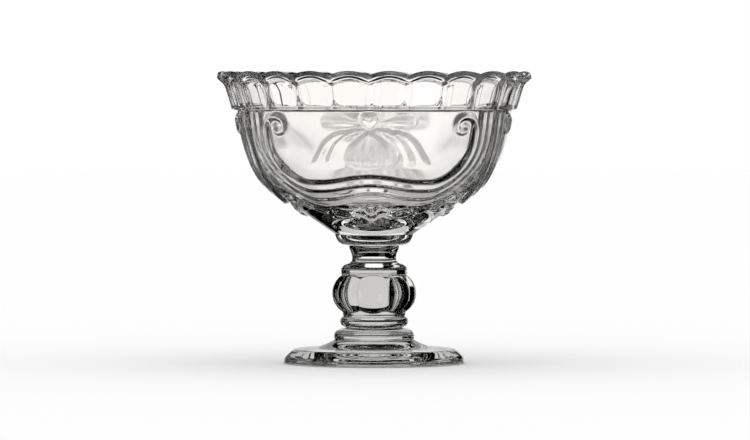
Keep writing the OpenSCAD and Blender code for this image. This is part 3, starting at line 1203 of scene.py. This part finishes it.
@dataclass
class Studio:
    """Floor, light and camera of a plain product photograph.

    The light is bright field: white cards stand round the dish near the horizon, with the dark above,
    below and between them, so clear glass shows its edges as dark lines.
    """

    floor_half: float = 4000.0
    floor_gap: float = 0.1
    card_soft: float = 4.0
    bounce_half: float = 34.0
    bounce_tall: float = 38.0
    bounce_back: float = 64.0
    bounce_level: float = 0.65
    cards: Sequence[Card] = (
        Card(turn=0.0, half=24.0, foot=-9.0, top=9.0, level=1.18),
        Card(turn=0.0, half=12.0, foot=-20.0, top=-2.0, level=0.62),
        Card(turn=0.0, half=14.0, foot=-42.0, top=-18.0, fade=10.0, level=1.25),
        Card(turn=-90.0, half=24.0, foot=-14.0, top=12.0),
        Card(turn=-90.0, half=8.0, foot=-40.0, top=0.0, fade=12.0, level=0.7),
        Card(turn=-45.0, half=9.0, foot=-50.0, top=-13.0, fade=8.0),
        Card(turn=135.0, half=16.0, foot=-46.0, top=0.0, fade=8.0),
    )
    camera_away: float = 1850.0
    camera_high: float = 97.0
    camera_turn: float = 2.0
    aim_side: float = 0.3
    aim_high: float = 50.0
    lens: float = 254.0
    sensor: float = 36.0

    def floor(self) -> bpy.types.Object:
        """Lays the floor under the dish.

        Returns:
            The floor object.
        """
        board = bmesh.new()
        bmesh.ops.create_grid(board, x_segments=1, y_segments=1, size=self.floor_half * MM)
        bmesh.ops.translate(board, verts=board.verts, vec=(0.0, 0.0, -self.floor_gap * MM))
        mesh = bpy.data.meshes.new("floor_board")
        board.to_mesh(mesh)
        board.free()
        mesh.materials.append(PaintedBoard().build())
        floor = bpy.data.objects.new("floor_board", mesh)
        bpy.context.scene.collection.objects.link(floor)
        floor.visible_transmission = False
        floor.visible_glossy = False
        return floor

    def bounce(self) -> bpy.types.Object:
        """Stands a white card behind the stem, which only the glass sees.

        Returns:
            The card object.
        """
        half, top = self.bounce_half * MM, self.bounce_tall * MM
        card = bmesh.new()
        corners = [(-half, 0.0), (half, 0.0), (half, top), (-half, top)]
        card.faces.new([card.verts.new((x, self.bounce_back * MM, z)) for x, z in corners])
        mesh = bpy.data.meshes.new("bounce_card")
        card.to_mesh(mesh)
        card.free()
        mesh.materials.append(LitCard(level=self.bounce_level).build())
        stand = bpy.data.objects.new("bounce_card", mesh)
        bpy.context.scene.collection.objects.link(stand)
        stand.visible_camera = False
        stand.visible_diffuse = False
        stand.visible_shadow = False
        return stand

    def light(self) -> bpy.types.World:
        """Sets the world: plain white, which glass sees as cards with dark gaps.

        Returns:
            The world.
        """
        world = bpy.data.worlds.new("bright_field_studio")
        tree = empty_tree(world)
        place = add_node(tree, "ShaderNodeTexCoord")
        way = add_node(tree, "ShaderNodeSeparateXYZ", {}, {"Vector": place.outputs["Generated"]})
        flat = add_node(
            tree, "ShaderNodeCombineXYZ", {}, {"X": way.outputs["X"], "Y": way.outputs["Y"]}
        )
        level_way = add_node(
            tree, "ShaderNodeVectorMath", {"operation": "NORMALIZE"}, {0: flat.outputs["Vector"]}
        )

        soft = self.card_soft / 2
        parts = []
        for card in self.cards:
            turn = math.radians(card.turn)
            facing = add_node(
                tree,
                "ShaderNodeVectorMath",
                {"operation": "DOT_PRODUCT", 1: (math.sin(turn), math.cos(turn), 0.0)},
                {0: level_way.outputs["Vector"]},
            )
            edges = [
                (facing.outputs["Value"], card.half + soft + 90.0, card.half - soft + 90.0, card.level),
                (way.outputs["Z"], card.foot, card.foot + card.fade, 1.0),
                (way.outputs["Z"], card.top + soft, card.top - soft, 1.0),
            ]
            part = None
            for value, off, full, level in edges:
                share = add_node(
                    tree,
                    "ShaderNodeMapRange",
                    {
                        "interpolation_type": "SMOOTHSTEP",
                        "From Min": math.sin(math.radians(off)),
                        "From Max": math.sin(math.radians(full)),
                        "To Max": level,
                    },
                    {"Value": value},
                )
                ways = {0: share.outputs["Result"]} | ({1: part.outputs["Value"]} if part else {})
                part = add_node(tree, "ShaderNodeMath", {"operation": "MULTIPLY", 1: 1.0}, ways)
            parts.append(part)
        shown = parts[0]
        for part in parts[1:]:
            sides = {0: shown.outputs["Value"], 1: part.outputs["Value"]}
            shown = add_node(tree, "ShaderNodeMath", {"operation": "MAXIMUM"}, sides)
        path = add_node(tree, "ShaderNodeLightPath")
        through = add_node(
            tree,
            "ShaderNodeMath",
            {"operation": "MAXIMUM"},
            {0: path.outputs["Is Glossy Ray"], 1: path.outputs["Is Transmission Ray"]},
        )
        level = add_node(
            tree,
            "ShaderNodeMapRange",
            {"To Min": 1.0},
            {"Value": through.outputs["Value"], "To Max": shown.outputs["Value"]},
        )
        white = add_node(
            tree,
            "ShaderNodeBackground",
            {"Color": linear("#ffffff")},
            {"Strength": level.outputs["Result"]},
        )
        add_node(tree, "ShaderNodeOutputWorld", {}, {"Surface": white.outputs["Background"]})
        bpy.context.scene.world = world
        return world

    def camera(self) -> bpy.types.Object:
        """Places the camera at the height of the rim, a little to the right of the front panel.

        Returns:
            The camera object.
        """
        turn = math.radians(self.camera_turn)
        data = bpy.data.cameras.new("photograph")
        data.lens = self.lens
        data.sensor_width = self.sensor
        data.clip_start = 0.1
        data.clip_end = 50.0
        camera = bpy.data.objects.new("photograph", data)
        place = Vector((math.sin(turn), -math.cos(turn), 0.0)) * self.camera_away * MM
        place.z = self.camera_high * MM
        aim = Vector((math.cos(turn), math.sin(turn), 0.0)) * self.aim_side * MM
        aim.z = self.aim_high * MM
        camera.location = place
        camera.rotation_euler = (aim - place).to_track_quat("-Z", "Y").to_euler()
        bpy.context.scene.collection.objects.link(camera)
        bpy.context.scene.camera = camera
        return camera

    def build(self) -> None:
        """Sets up the floor, the light, the camera and the paths that light takes through glass."""
        self.floor()
        self.bounce()
        self.light()
        self.camera()
        scene = bpy.context.scene
        scene.view_settings.view_transform = "Standard"
        scene.cycles.max_bounces = 32
        scene.cycles.transmission_bounces = 28
        scene.cycles.glossy_bounces = 16
        scene.cycles.transparent_max_bounces = 32


def main() -> None:
    """Builds the dish piece by piece, then the studio round it."""
    logging.basicConfig(level=logging.INFO, format="%(name)s: %(message)s")
    worn = PressedGlass(name="spoon_worn_glass", haze=0.16)
    finishes = [PressedGlass().build(), FusedJoint().build(), worn.build()]
    for piece in (Bowl(), JoiningWafer(), Stem(), Foot()):
        built = piece.build(finishes)
        LOG.info("%s stands for %s with %d faces", built.name, piece.node, len(built.data.polygons))
    Studio().build()


if __name__ == "__main__":
    main()
